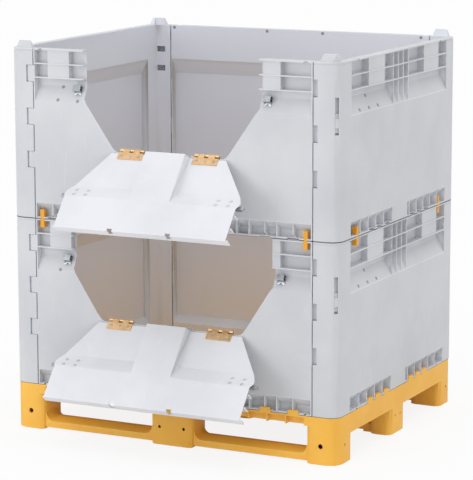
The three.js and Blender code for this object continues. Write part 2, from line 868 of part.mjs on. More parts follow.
// Moves an outline inwards by a wall, towards its centre, corner by corner
function shrunk(points, wall) {
  const xs = points.map(([x]) => x);
  const ys = points.map(([, y]) => y);
  const halfX = (Math.max(...xs) - Math.min(...xs)) / 2;
  const halfY = (Math.max(...ys) - Math.min(...ys)) / 2;
  const midX = Math.min(...xs) + halfX;
  const midY = Math.min(...ys) + halfY;
  return points.map(([x, y]) => [
    midX + (x - midX) * (halfX - wall) / halfX,
    midY + (y - midY) * (halfY - wall) / halfY,
  ]);
}

function fourCorners(solid) {
  return [solid, solid.mirror([1, 0, 0]), solid.mirror([0, 1, 0]), solid.mirror([1, 0, 0]).mirror([0, 1, 0])];
}

function deck() {
  const { corner, end, side, middle } = footPlans();
  const foot = (plan) => raised(plan, 0, forkTop + overrun);
  const hollow = (plan) => raised(
    shrunk(plan.filter((_, index) => index % (footRoundingSteps + 1) !== 1), footWall), -overrun, forkTop);
  const slab = raised(
    roundedPlan(-sidePlane, sidePlane, frontPlane, -frontPlane, [cornerRadius, cornerRadius, cornerRadius, cornerRadius],
      footRoundingSteps),
    forkTop, palletHeight);
  const rails = [1, -1].map((way) => block(
    Math.min(way * sidePlane, way * (sidePlane - railThickness)),
    Math.max(way * sidePlane, way * (sidePlane - railThickness)),
    frontPlane + cornerFootWidth / 2, -frontPlane - cornerFootWidth / 2, railBottom, forkTop + overrun));
  const whole = join([
    slab,
    ...rails,
    ...fourCorners(foot(corner)),
    foot(end), mirrorY(foot(end)),
    foot(side), foot(side).mirror([1, 0, 0]),
    foot(middle),
    ...palletTabs(),
    ...palletNubs(),
  ]);
  return cut(whole, [
    ...fourCorners(hollow(corner)),
    hollow(end), mirrorY(hollow(end)),
    hollow(side), hollow(side).mirror([1, 0, 0]),
    hollow(middle),
    ...underPockets(),
    ...edgePockets(),
    ...runnerTunnels(),
    ...footHoles(),
  ]);
}

// Pockets that leave a grid of ribs under the deck, in the bays between the feet
function pocketGrid(x0, x1, y0, y1, columns, rows) {
  const pitchX = (x1 - x0 + deckRib) / columns;
  const pitchY = (y1 - y0 + deckRib) / rows;
  const pockets = [];
  for (let column = 0; column < columns; column += 1) {
    for (let row = 0; row < rows; row += 1) {
      const x = x0 + column * pitchX;
      const y = y0 + row * pitchY;
      pockets.push(block(
        x, x + pitchX - deckRib, y, y + pitchY - deckRib, forkTop - overrun, palletHeight - deckPlate));
    }
  }
  return pockets;
}

function underPockets() {
  const bayInner = endFootHalf + deckRib;
  const bayOuter = sidePlane - cornerFootLength - deckRib;
  const bayReach = -frontPlane - edgePocketDepth - deckRib;
  const between = sideFootHalf + deckRib;
  const bay = pocketGrid(bayInner, bayOuter, -bayReach, bayReach, underPocketColumns, underPocketRows);
  const flank = pocketGrid(
    bayOuter + deckRib, sidePlane - railThickness - deckRib,
    between, -frontPlane - cornerFootWidth - deckRib, 1, 1);
  const spine = pocketGrid(
    -endFootHalf, endFootHalf, between, -frontPlane - endFootWidth - deckRib, 1, 1);
  return [
    ...bay,
    ...bay.map((pocket) => pocket.mirror([1, 0, 0])),
    ...flank.flatMap(fourCorners),
    ...spine,
    ...spine.map(mirrorY),
  ];
}

// Pockets along the front and rear edges, open outwards and downwards between upright ribs
function edgePockets() {
  const from = endFootHalf + deckRib;
  const to = sidePlane - cornerFootLength - deckRib;
  const pitch = (to - from + deckRib) / edgePocketCount;
  const pockets = [];
  for (let index = 0; index < edgePocketCount; index += 1) {
    const x0 = from + index * pitch;
    pockets.push(...fourCorners(block(
      x0, x0 + pitch - deckRib, frontPlane - overrun, frontPlane + edgePocketDepth,
      forkTop - overrun, palletHeight - deckPlate)));
  }
  return pockets;
}

function palletTab(place) {
  const half = tabWidth / 2;
  const outline = [
    [place - half, palletHeight - overrun], [place + half, palletHeight - overrun],
    [place + half - tabDraft, palletHeight + tabHeight], [place - half + tabDraft, palletHeight + tabHeight],
  ];
  return drawnAlongY(outline, frontPlane, frontPlane + tabDepth);
}

function palletTabs() {
  const ends = bothSides(alongWall(endTabShares)).map(palletTab);
  const right = sideTabPlaces().map((place) => turnedToSide(palletTab(place)));
  return [
    ...ends,
    ...ends.map(mirrorY),
    ...right,
    ...right.map((tab) => tab.mirror([0, 1, 0]).mirror([1, 0, 0])),
  ];
}

function palletNubs() {
  const right = [nub(palletHeight, narrowSeam), mirrorY(nub(palletHeight, wideSeam))];
  return [...right, ...right.map((nub) => nub.mirror([0, 1, 0]).mirror([1, 0, 0]))];
}

function footHoles() {
  const cornerX = sidePlane - cornerHoleInset;
  const cornerY = -frontPlane - cornerHoleInset;
  const through = (radius, x) => lengthwiseRound(
    radius, x, frontPlane - overrun, -frontPlane + overrun, footHoleHeight, footHoleFacets);
  const across = (radius, y) => crosswiseRound(
    radius, -sidePlane - overrun, sidePlane + overrun, y, footHoleHeight, footHoleFacets);
  const skins = join([
    block(-sidePlane - overrun, sidePlane + overrun, frontPlane - overrun, frontPlane + 2 * footWall, 0, forkTop),
    block(-sidePlane - overrun, sidePlane + overrun, -frontPlane - 2 * footWall, -frontPlane + overrun, 0, forkTop),
  ]);
  const flanks = join([1, -1].map((way) => block(
    Math.min(way * (sidePlane + overrun), way * (sidePlane - 2 * footWall)),
    Math.max(way * (sidePlane + overrun), way * (sidePlane - 2 * footWall)),
    frontPlane - overrun, -frontPlane + overrun, 0, forkTop)));
  return [
    ...bothSides([cornerX]).map((x) => through(cornerHoleRadius, x).intersect(skins)),
    ...bothSides([endHolePlace]).map((x) => through(endHoleRadius, x).intersect(skins)),
    ...bothSides([cornerY]).map((y) => across(endHoleRadius, y).intersect(flanks)),
    ...bothSides([sideHolePlace]).map((y) => across(sideHoleRadius, y).intersect(flanks)),
  ];
}

// Runner section, with a bevel on the edges that the forks pass over
function runnerSection(grow) {
  const y0 = frontPlane + runnerSetback - grow;
  const y1 = frontPlane + runnerSetback + runnerWidth + grow;
  return [
    [y0, runnerLift - grow], [y1, runnerLift - grow],
    [y1, runnerEdgeTop + grow], [y1 - runnerBevel, runnerTop + grow],
    [y0 + runnerBevel, runnerTop + grow], [y0, runnerEdgeTop + grow],
  ];
}

function runner() {
  const runnerReach = sidePlane - runnerEndInset;
  const beam = drawnAlongX(runnerSection(0), -runnerReach, runnerReach);
  const y0 = frontPlane + runnerSetback;
  const inner = sidePlane - cornerFootLength + footWall + runnerClearance;
  const pad = (x0, x1) => block(x0, x1, y0, y0 + runnerWidth, 0, runnerLift + overrun);
  const middle = endFootHalf - footWall - runnerClearance;
  return join([beam, pad(-middle, middle), pad(inner, runnerReach), pad(-runnerReach, -inner)]);
}

function middleShift() {
  return -frontPlane - runnerSetback - runnerWidth / 2;
}

function runnerTunnels() {
  const reach = sidePlane - runnerEndInset + overrun;
  const y0 = frontPlane + runnerSetback - runnerClearance;
  const y1 = y0 + runnerWidth + 2 * runnerClearance;
  const beam = drawnAlongX(runnerSection(runnerClearance), -reach, reach);
  const tunnel = beam.add(block(-reach, reach, y0, y1, -overrun, runnerLift + overrun));
  const middle = tunnel.translate([0, middleShift(), 0]);
  return [tunnel, middle, mirrorY(tunnel)];
}

// The whole bin
const bin = new THREE.Group();

bin.add(part("pallet_deck", deck(), yellowPlastic));
const frontRunner = part("front_runner", runner(), yellowPlastic);
const middleRunner = part("middle_runner", runner(), yellowPlastic);
middleRunner.position.y = middleShift();
const rearRunner = part("rear_runner", runner(), yellowPlastic);
rearRunner.rotation.z = Math.PI;
bin.add(frontRunner, middleRunner, rearRunner);

const sideWallSolid = sideWall();
const rearWallSolid = rearWall();
const lockSolid = lockSlide();
const flapLeafSolid = flapLeaf();
const wallLeafSolid = wallLeaf();
const housingSolid = latchHousing();
const boltSolid = latchBolt();
const keeperSolid = keeper();

function addLatch(parent, holder, opening, side, word) {
  const mount = new THREE.Group();
  mount.rotation.x = -slopeAngle;
  mount.position.set(
    side * (shoulderHalf(opening) - latchInboard), frontPlane + latchDepth - holder.y, latchLevel - holder.z);
  const housing = part(`${opening.name}_${word}_bolt_housing`, housingSolid, zinc);
  const bolt = part(`${opening.name}_${word}_bolt`, side > 0 ? boltSolid : boltSolid.mirror([1, 0, 0]), zinc);
  mount.add(housing, bolt);
  parent.add(mount);
}

function addKeeper(parent, opening, side, word) {
  const mount = new THREE.Group();
  mount.rotation.x = -slopeAngle;
  mount.position.set(side * (shoulderHalf(opening) + keeperGap), frontPlane + latchDepth, latchLevel);
  mount.add(part(`${opening.name}_${word}_keeper`, side > 0 ? keeperSolid : keeperSolid.mirror([1, 0, 0]), zinc));
  parent.add(mount);
}

function collar(opening, base) {
  const { name } = opening;
  const group = new THREE.Group();
  group.position.z = base;
  const right = part(`${name}_right_wall`, sideWallSolid, greyPlastic);
  const left = part(`${name}_left_wall`, sideWallSolid, greyPlastic);
  left.rotation.z = Math.PI;
  const rear = part(`${name}_rear_wall`, rearWallSolid, greyPlastic);
  rear.rotation.z = Math.PI;
  group.add(part(`${name}_front_wall`, frontWall(opening), greyPlastic), rear, right, left);

  const rightLock = part(`${name}_front_right_lock_slide`, lockSolid, greyPlastic);
  const leftLock = part(`${name}_rear_left_lock_slide`, lockSolid, greyPlastic);
  leftLock.rotation.z = Math.PI;
  group.add(rightLock, leftLock);

  for (const [side, sideWord] of [[1, "right"], [-1, "left"]]) {
    addKeeper(group, opening, side, sideWord);
  }

  const axis = new THREE.Vector3(0, frontPlane + skin / 2, hingeLevel);
  const swing = new THREE.Group();
  swing.position.copy(axis);
  swing.rotation.x = flapOpenAngle;
  const panel = part(`${name}_flap`, flap(opening), flapPlastic);
  panel.position.copy(axis).negate();
  swing.add(panel);
  for (const [side, sideWord] of [[1, "right"], [-1, "left"]]) {
    const moving = part(`${name}_${sideWord}_hinge_flap_leaf`, flapLeafSolid, brass);
    moving.position.x = side * opening.hingePlace;
    swing.add(moving);
    const fixed = part(`${name}_${sideWord}_hinge_wall_leaf`, wallLeafSolid, brass);
    fixed.position.set(side * opening.hingePlace, axis.y, axis.z);
    group.add(fixed);
    addLatch(swing, axis, opening, side, sideWord);
  }
  group.add(swing);
  return group;
}

const lowerBase = palletHeight + seatGap;
const upperBase = lowerBase + collarHeight + seatGap;
bin.add(collar(lowerOpening, lowerBase));
bin.add(collar(upperOpening, upperBase));

// Clips at the joint of the two collars, two on each side
const clipSolid = clip();
const clipSideSolid = turnedToSide(clipSolid);
for (const [way, endWord, turn] of [[1, "front", 0], [-1, "rear", Math.PI]]) {
  for (const [side, sideWord] of [[1, "right"], [-1, "left"]]) {
    const endClip = part(`${endWord}_${sideWord}_clip`, clipSolid, orangePlastic);
    endClip.position.set(side * clipEndShare * wallEnd, 0, upperBase);
    endClip.rotation.z = turn;
    const sideClip = part(`${sideWord}_${endWord}_side_clip`, clipSideSolid, orangePlastic);
    sideClip.position.set(0, -way * clipSideShare * postEnd, upperBase);
    sideClip.rotation.z = side > 0 ? 0 : Math.PI;
    bin.add(endClip, sideClip);
  }
}

export default bin;
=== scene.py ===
"""Finishes for a collapsible pallet bin: moulded collars, flaps, pallet and clips, and metalwork."""

import json
import math

import bmesh
import bpy
from mathutils import Matrix, Vector
from mathutils.geometry import delaunay_2d_cdt, intersect_point_line


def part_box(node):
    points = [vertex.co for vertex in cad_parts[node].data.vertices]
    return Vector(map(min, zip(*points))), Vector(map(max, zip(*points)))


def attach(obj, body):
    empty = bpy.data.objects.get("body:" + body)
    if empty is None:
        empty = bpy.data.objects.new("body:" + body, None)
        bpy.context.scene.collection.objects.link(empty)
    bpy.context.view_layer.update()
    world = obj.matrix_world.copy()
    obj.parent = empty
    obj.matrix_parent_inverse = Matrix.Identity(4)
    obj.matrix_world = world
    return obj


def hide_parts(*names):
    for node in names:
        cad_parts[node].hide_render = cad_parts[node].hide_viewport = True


bl_info = {
    "name": "Pallet Bin Finishes",
    "version": (1, 0, 0),
    "blender": (4, 5, 0),
    "location": "View3D > Sidebar > Pallet Bin",
    "description": "Rounds, finishes and stages a collapsible pallet bin",
    "category": "Object",
}

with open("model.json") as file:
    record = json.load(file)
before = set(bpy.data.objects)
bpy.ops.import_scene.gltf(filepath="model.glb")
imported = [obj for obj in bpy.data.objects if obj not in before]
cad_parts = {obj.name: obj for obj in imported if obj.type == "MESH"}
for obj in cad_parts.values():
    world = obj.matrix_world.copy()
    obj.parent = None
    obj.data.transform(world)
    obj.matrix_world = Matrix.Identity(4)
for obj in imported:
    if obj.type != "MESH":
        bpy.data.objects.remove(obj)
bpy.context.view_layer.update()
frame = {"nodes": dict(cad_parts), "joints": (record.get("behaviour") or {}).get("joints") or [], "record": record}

TIERS = ("lower", "upper")
SIDES = ("right", "left")
BODY_OF = {
    node: body
    for body, nodes in frame["record"]["behaviour"]["bodies"].items()
    for node in nodes
}
JOINTS = {joint["name"]: joint for joint in frame["joints"]}

# Section of a collar wall in metres, from its outer plane and down from its top
SKIN = 0.004
BAND_DEPTH = 0.026
SLOPE_FOOT_DROP = 0.176
SLOPE_HEAD_DROP = 0.123
SLOPE_RISE = SLOPE_FOOT_DROP - SLOPE_HEAD_DROP
# How far the walls' inner planes are from the middle, along x and y
INSIDE_REACH = (0.57, 0.47)

# A hinge in metres: its barrel, the pitch of a leaf's screws and how far they are from the pin
BARREL_RADIUS = 0.0045
HINGE_SCREW_PITCH = 0.03
HINGE_SCREW_REACH = 0.022
# A bolt housing's rivets in metres: sideways from its middle, and under the collar's top, flap shut
RIVET_REACH = 0.0215
RIVET_DROPS = (0.129, 0.151)
# Corners in one ring of a fastener's head: a multiple of six, for its hexagonal socket
HEAD_STEPS = 24

# Gate marks in metres: places along a wall, with how far they are under the collar's top
FRONT_MARKS = {
    "lower": ((-0.418, 0.168),),
    "upper": ((-0.418, 0.168), (-0.343, 0.169), (-0.408, 0.126)),
}
SIDE_MARKS = ((-0.392, 0.13), (-0.245, 0.13), (-0.33, 0.166), (-0.256, 0.166), (-0.184, 0.166))
RIM_MARKS = (-0.494, -0.117, 0.102, 0.478)
RIM_MARK_DROP = 0.0075

# Roundings of the fork pockets over the runners, in metres: their radius, how far they reach into
# foot and runner, and how far behind the runner's outer side they start
FILLET_RADIUS = 0.026
FILLET_ROOT = 0.005
FILLET_START = 0.0015
FILLET_STEPS = 8
# A runner's top slopes up from both its sides to its middle: how far in, and how high
RUNNER_BEVEL = 0.036
RUNNER_RISE = 0.013
# The feet's sides along x, the way from each into its pocket, and how far before the runner's
# inner side the foot ends
FOOT_SIDES = ((0.486, -1, 0.004), (0.08, 1, 0.016))

# An edge is rounded where its faces turn by more than the first angle, or by more than the second
# one and it is a fold between wide faces: the facets of a round corner are narrower than FOLD_ROOM.
# An upright edge is a facet's, and stays smooth, up to the third angle
SHARP_TURN = math.radians(35)
FOLD_TURN = math.radians(12)
FOLD_ROOM = 0.03
UPRIGHT_TURN = math.radians(50)
# The share of the room beside an edge that its rounding may take
ROOM_SHARE = 0.3
# Corners nearer than this are one, in metres, and faces that turn by less than this are merged
MERGE_REACH = 0.00002
MERGE_TURN = math.radians(0.2)
# Faces that turn by less than this lie in one plane
FLAT_TURN = math.radians(0.3)
# A corner that turns inwards by less than this area, in square metres, is straight
DENT_AREA = 1e-12
# How the triangulation is asked to fill an outline's whole hull and to keep corners apart
WHOLE_HULL = 0
CORNER_REACH = 1e-8

# How wide the plastics' colour clouds, sink waves and scuffs and the metals' patches are
CLOUD_MM = 260
SINK_MM = 110
SCUFF_MM = 34
TARNISH_MM = 16
# A face's outward share is -1 on a wall's inner plane and more than 1 on its outer one. Between these two shares
# the painted light on the inner faces sets in: a paler, cooler colour that stands in for light inside the bin
PAINTED_LIGHT_START = -0.885
PAINTED_LIGHT_FULL = -0.91
# Seam dirt reaches this far over and under a seam, in metres, on faces past this outward share
SEAM_REACH = 0.002
SEAM_OUTWARD = 0.3

# The lamps' spread, turn, size, place and aim, in radians and metres
KEY_SPREAD = math.radians(40)
KEY_TURN = (math.radians(12), math.radians(6), 0)
WINDOW_SIZE = 3.0
WINDOW_PLACE = Vector((-2.8, -5.4, 1.5))
WINDOW_AIM = Vector((0, 0, 0.6))
# How far the floor reaches from the middle, in metres
FLOOR_REACH = 60.0

# The photograph's camera: its lens and frame in pixels, its place and sight in metres, its turn
FOCAL_PIXELS = 2371.2
FRAME_PIXELS = 480
SENSOR_WIDTH_MM = 36
CAMERA_PLACE = (3.584, -7.2059, 2.051)
CAMERA_TURN = (math.pi / 2 - 0.177, 0.002, 0.462)
CAMERA_SIGHT = 200


# Colours and nodes


def linear(code):
    """The linear colour of an sRGB hex value."""
    channels = []
    for start in (1, 3, 5):
        value = int(code[start:start + 2], 16) / 255
        channels.append(value / 12.92 if value <= 0.04045 else ((value + 0.055) / 1.055) ** 2.4)
    return (*channels, 1.0)


def add(tree, kind, settings=None, links=None):
    """Adds a node, sets its properties and sockets, and links its inputs."""
    node = tree.nodes.new(kind)
    for key, value in (settings or {}).items():
        if isinstance(key, str) and hasattr(node, key):
            setattr(node, key, value)
        else:
            node.inputs[key].default_value = value
    for key, source in (links or {}).items():
        tree.links.new(source, node.inputs[key])
    return node


def per_size(millimetres):
    """A noise scale whose features are this many millimetres across."""
    return 1000 / millimetres


def new_material(name):
    """A material with an empty node tree."""
    material = bpy.data.materials.new(name)
    material.use_nodes = True
    material.node_tree.nodes.clear()
    return material


def outward_share(tree, place):
    """A face's place, measured in the walls' inner reach, along the way that the face looks."""
    shrink = (1 / INSIDE_REACH[0], 1 / INSIDE_REACH[1], 0)
    level = add(tree, "ShaderNodeVectorMath", {"operation": "MULTIPLY", 1: shrink}, {0: place})
    facing = add(tree, "ShaderNodeNewGeometry").outputs["True Normal"]
    share = add(tree, "ShaderNodeVectorMath", {"operation": "DOT_PRODUCT"},
                {0: level.outputs["Vector"], 1: facing})
    return share.outputs["Value"]


def soiled(tree, colour, place, outward, seams):
    """A colour with dirt along the seams at these heights, on the faces that look out."""
    height = add(tree, "ShaderNodeSeparateXYZ", links={"Vector": place}).outputs["Z"]
    outer_part = add(tree, "ShaderNodeMath", {"operation": "GREATER_THAN", 1: SEAM_OUTWARD},
                     {0: outward})
    for seam in seams:
        level_part = add(tree, "ShaderNodeMath", {"operation": "COMPARE", 1: seam, 2: SEAM_REACH},
                         {0: height})
        near = add(tree, "ShaderNodeMath", {"operation": "MULTIPLY"},
                   {0: level_part.outputs["Value"], 1: outer_part.outputs["Value"]})
        colour = add(tree, "ShaderNodeMix", {"data_type": "RGBA", 7: linear("#6E7074")},
                     {0: near.outputs["Value"], 6: colour}).outputs[2]
    return colour


def moulded_plastic(name, face, shade, scuff, roughness, grain_mm=3.0, painted_inner_light=None, seams=()):
    """Injection moulded plastic: a satin skin with fine grain, soft sink waves and pale scuffs.

    The real grain is about 0.4 mm. It is drawn as coarse as grain_mm so that it shows. A paler, cooler colour of
    painted light, standing in for light inside the bin, goes on the faces that look in at the bin's middle, and
    dirt lies along seams at these heights.
    """
    material = new_material(name)
    tree = material.node_tree
    place = add(tree, "ShaderNodeTexCoord").outputs["Object"]
    outward = outward_share(tree, place) if painted_inner_light or seams else None
    cloud = add(tree, "ShaderNodeTexNoise",
                {"Scale": per_size(CLOUD_MM), "Detail": 4.0, "Roughness": 0.55}, {"Vector": place})
    cloud_part = add(tree, "ShaderNodeMapRange", {"From Min": 0.38, "From Max": 0.66},
                     {"Value": cloud.outputs["Fac"]})
    colour = add(tree, "ShaderNodeMix", {"data_type": "RGBA", 6: face, 7: shade},
                 {0: cloud_part.outputs["Result"]}).outputs[2]
    # Painted light: faces that look in at the bin's middle get a paler, cooler colour that stands in for light
    # inside the bin
    if painted_inner_light:
        painted_light_part = add(tree, "ShaderNodeMapRange", {"From Min": PAINTED_LIGHT_START, "From Max": PAINTED_LIGHT_FULL},
                         {"Value": outward})
        colour = add(tree, "ShaderNodeMix", {"data_type": "RGBA", 7: painted_inner_light},
                     {0: painted_light_part.outputs["Result"], 6: colour}).outputs[2]
    stretched = add(tree, "ShaderNodeMapping",
                    {"Scale": (1.0, 1.0, 0.22), "Rotation": (0.4, 0.7, 0.2)}, {"Vector": place})
    marks = add(tree, "ShaderNodeTexNoise",
                {"Scale": per_size(SCUFF_MM), "Detail": 6.0, "Roughness": 0.7, "Distortion": 0.6},
                {"Vector": stretched.outputs["Vector"]})
    mark_part = add(tree, "ShaderNodeMapRange", {"From Min": 0.6, "From Max": 0.78, "To Max": 0.45},
                    {"Value": marks.outputs["Fac"]})
    colour = add(tree, "ShaderNodeMix", {"data_type": "RGBA", 7: scuff},
                 {0: mark_part.outputs["Result"], 6: colour}).outputs[2]
    if seams:
        colour = soiled(tree, colour, place, outward, seams)
    gloss = add(tree, "ShaderNodeMapRange",
                {"From Min": 0.3, "From Max": 0.7,
                 "To Min": roughness - 0.07, "To Max": roughness + 0.1},
                {"Value": marks.outputs["Fac"]})
    grain = add(tree, "ShaderNodeTexNoise",
                {"Scale": per_size(grain_mm), "Detail": 3.0, "Roughness": 0.6}, {"Vector": place})
    sink = add(tree, "ShaderNodeTexNoise", {"Scale": per_size(SINK_MM), "Detail": 1.0},
               {"Vector": place})
    waves = add(tree, "ShaderNodeBump", {"Strength": 0.35, "Distance": 0.002},
                {"Height": sink.outputs["Fac"]})
    relief = add(tree, "ShaderNodeBump", {"Strength": 0.25, "Distance": 0.0003},
                 {"Height": grain.outputs["Fac"], "Normal": waves.outputs["Normal"]})
    shader = add(tree, "ShaderNodeBsdfPrincipled", {"IOR": 1.5, "Metallic": 0.0},
                 {"Base Color": colour, "Roughness": gloss.outputs["Result"],
                  "Normal": relief.outputs["Normal"]})
    add(tree, "ShaderNodeOutputMaterial", links={"Surface": shader.outputs["BSDF"]})
    return material


def sheet_metal(name, face, tarnish, roughness, brush_mm=0.9):
    """Rolled sheet metal: fine lines along the roll and soft patches of tarnish.

    The roll lines are about 0.1 mm apart. They are drawn brush_mm apart so that they show.
    """
    material = new_material(name)
    tree = material.node_tree
    place = add(tree, "ShaderNodeTexCoord").outputs["Object"]
    along = add(tree, "ShaderNodeMapping", {"Scale": (0.04, 1.0, 1.0)}, {"Vector": place})
    lines = add(tree, "ShaderNodeTexNoise", {"Scale": per_size(brush_mm), "Detail": 2.0},
                {"Vector": along.outputs["Vector"]})
    patches = add(tree, "ShaderNodeTexNoise",
                  {"Scale": per_size(TARNISH_MM), "Detail": 4.0, "Roughness": 0.6}, {"Vector": place})
    patch_part = add(tree, "ShaderNodeMapRange", {"From Min": 0.42, "From Max": 0.7},
                     {"Value": patches.outputs["Fac"]})
    body = add(tree, "ShaderNodeMix", {"data_type": "RGBA", 6: face, 7: tarnish},
               {0: patch_part.outputs["Result"]})
    gloss = add(tree, "ShaderNodeMapRange", {"To Min": roughness - 0.08, "To Max": roughness + 0.14},
                {"Value": lines.outputs["Fac"]})
    relief = add(tree, "ShaderNodeBump", {"Strength": 0.2, "Distance": 0.0002},
                 {"Height": lines.outputs["Fac"]})
    shader = add(tree, "ShaderNodeBsdfPrincipled", {"Metallic": 1.0},
                 {"Base Color": body.outputs[2], "Roughness": gloss.outputs["Result"],
                  "Normal": relief.outputs["Normal"]})
    add(tree, "ShaderNodeOutputMaterial", links={"Surface": shader.outputs["BSDF"]})
    return material


# Rounded copies of the CAD pieces


def is_convex(face):
    """Whether a flat face has no inward corner."""
    for loop in face.loops:
        before = loop.vert.co - loop.link_loop_prev.vert.co
        after = loop.link_loop_next.vert.co - loop.vert.co
        if before.cross(after).dot(face.normal) < -DENT_AREA:
            return False
    return True


def distance(point, start, end):
    """The distance of a point from a stretch of line."""
    near, share = intersect_point_line(point, start, end)
    if share < 0:
        near = start
    elif share > 1:
        near = end
    return (near - point).length


def room_beside(edge):
    """How far the nearest other edge of its two faces is, and twice its length at most."""
    start, end = (vert.co for vert in edge.verts)
    least = edge.calc_length() * 2
    for face in edge.link_faces:
        for other in face.edges:
            if other is edge:
                continue
            first, last = (vert.co for vert in other.verts)
            if set(edge.verts) & set(other.verts):
                least = min(least, other.calc_length())
            else:
                least = min(least, distance(start, first, last), distance(end, first, last),
                            distance(first, start, end), distance(last, start, end))
    return least


def is_upright(edge):
    """Whether an edge runs straight up."""
    start, end = (vert.co for vert in edge.verts)
    return (end - start).to_2d().length < MERGE_REACH


def cleaned(source, width, foot_width):
    """A merged copy of a CAD mesh, with a weight on each outer edge for the rounding that fits there.

    The lowest edges are rounded to the foot's width and all others to the plain one.
    """
    widest = max(width, foot_width)
    mesh = source.copy()
    mesh.materials.clear()
    shell = bmesh.new()
    shell.from_mesh(mesh)
    bmesh.ops.remove_doubles(shell, verts=shell.verts, dist=MERGE_REACH)
    bmesh.ops.dissolve_limit(shell, angle_limit=MERGE_TURN, verts=shell.verts, edges=shell.edges,
                             use_dissolve_boundaries=False)
    dented = [face for face in shell.faces if len(face.verts) > 4 and not is_convex(face)]
    bmesh.ops.triangulate(shell, faces=dented, quad_method="BEAUTY", ngon_method="BEAUTY")
    weight = shell.edges.layers.float.new("bevel_weight_edge")
    for face in shell.faces:
        face.smooth = True
    foot = min(vert.co.z for vert in shell.verts) + MERGE_REACH
    for edge in shell.edges:
        turn = edge.calc_face_angle(0)
        if turn <= FOLD_TURN:
            continue
        room = room_beside(edge)
        if turn <= SHARP_TURN and room < FOLD_ROOM:
            continue
        if turn <= UPRIGHT_TURN and is_upright(edge):
            continue
        if edge.is_convex:
            wanted = foot_width if all(vert.co.z < foot for vert in edge.verts) else width
            edge[weight] = min(wanted, ROOM_SHARE * room) / widest
        else:
            edge.smooth = False
    shell.to_mesh(mesh)
    shell.free()
    return mesh


def flat_region(start):
    """The faces in one plane with a face that hang together with it, folded back ones among them."""
    region = {start}
    waiting = [start]
    while waiting:
        for edge in waiting.pop().edges:
            turn = edge.calc_face_angle(math.pi / 2)
            if FLAT_TURN < turn < math.pi - FLAT_TURN:
                continue
            for face in edge.link_faces:
                if face not in region:
                    region.add(face)
                    waiting.append(face)
    return region


def winds_round(place, points, outline):
    """Whether the directed edges of an outline wind round a place anticlockwise."""
    turns = 0
    for first, last in outline:
        start = points[first]
        end = points[last]
        if (start.y <= place.y) == (end.y <= place.y):
            continue
        if start.x + (place.y - start.y) / (end.y - start.y) * (end.x - start.x) > place.x:
            turns += 1 if end.y > start.y else -1
    return turns > 0


def lay_anew(shell, region):
    """Fills a flat region's outline with new triangles in place of its faces."""
    largest = max(region, key=lambda face: face.calc_area())
    flatten = largest.normal.rotation_difference(Vector((0, 0, 1))).to_matrix()
    numbers = {}
    points = []
    outline = []
    inner = set()
    for face in region:
        for loop in face.loops:
            if all(near in region for near in loop.edge.link_faces):
                inner.add(loop.edge)
                continue
            ends = (loop.vert, loop.link_loop_next.vert)
            for vert in ends:
                if vert not in numbers:
                    numbers[vert] = len(points)
                    points.append((flatten @ vert.co).to_2d())
            outline.append((numbers[ends[0]], numbers[ends[1]]))
    places, _, triangles, *_ = delaunay_2d_cdt(points, outline, [], WHOLE_HULL, CORNER_REACH)
    if len(places) != len(points):
        return
    corners = list(numbers)
    material = largest.material_index
    bmesh.ops.delete(shell, geom=list(inner), context="EDGES_FACES")
    for triangle in triangles:
        middle = sum((points[number] for number in triangle), Vector((0, 0))) / 3
        if winds_round(middle, points, outline):
            face = shell.faces.new([corners[number] for number in triangle])
            face.material_index = material
            face.smooth = True


def unfold(mesh):
    """Lays flat faces anew where a rounding has pushed a corner past one of their inner edges."""
    shell = bmesh.new()
    shell.from_mesh(mesh)
    folded = {
        face
        for edge in shell.edges
        if edge.calc_face_angle(0) > math.pi - FLAT_TURN
        for face in edge.link_faces
    }
    while folded:
        region = flat_region(folded.pop())
        folded -= region
        lay_anew(shell, region)
    loose = [vert for vert in shell.verts if not vert.link_faces]
    bmesh.ops.delete(shell, geom=loose, context="VERTS")
    shell.to_mesh(mesh)
    shell.free()


def converted(work, name):
    """A plain mesh object from what an object's modifiers make, in the object's place."""
    bpy.context.view_layer.update()
    evaluated = work.evaluated_get(bpy.context.evaluated_depsgraph_get())
    piece = bpy.data.objects.new(name, bpy.data.meshes.new_from_object(evaluated))
    bpy.context.scene.collection.objects.link(piece)
    bpy.data.objects.remove(work)
    return piece


def rounded_copy(node, width, foot_width, materials):
    """A CAD node's copy with rounded outer edges; the second material, on the roundings, is a painted highlight.
    """
    mesh = cleaned(frame["nodes"][node].data, width, foot_width)
    for material in materials:
        mesh.materials.append(material)
    work = bpy.data.objects.new(node + "_work", mesh)
    bpy.context.scene.collection.objects.link(work)
    bevel = work.modifiers.new("edge rounding", "BEVEL")
    bevel.width = max(width, foot_width)
    bevel.segments = 2
    bevel.limit_method = "WEIGHT"
    bevel.use_clamp_overlap = False
    # The roundings take the second material: a painted highlight along the edges
    if len(materials) > 1:
        bevel.material = 1
    rounded = converted(work, node + "_rounded")
    unfold(rounded.data)
    flatten = rounded.modifiers.new("flat faces stay flat", "WEIGHTED_NORMAL")
    flatten.mode = "FACE_AREA"
    flatten.weight = 50
    flatten.keep_sharp = True
    return converted(rounded, node + "_finished")


def dress(nodes, width, materials, foot_width=0.0):
    """Replaces CAD nodes with their rounded copies in these materials."""
    for node in nodes:
        piece = rounded_copy(node, width, foot_width or width, materials)
        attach(piece, BODY_OF[node])
        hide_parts(node)


def of_tiers(*patterns):
    """The node names that patterns with {tier} and {side} give."""
    return [
        pattern.format(tier=tier, side=side)
        for pattern in patterns
        for tier in TIERS
        for side in (SIDES if "{side}" in pattern else ("",))
    ]


# Closed shapes from rings


def join_rings(shell, rings):
    """Joins each ring of corners to the next with faces, and closes the first and last ring."""
    for near, far in zip(rings, rings[1:]):
        for step in range(len(near)):
            after = (step + 1) % len(near)
            shell.faces.new((near[step], near[after], far[after], far[step]))
    shell.faces.new(list(reversed(rings[0])))
    shell.faces.new(rings[-1])


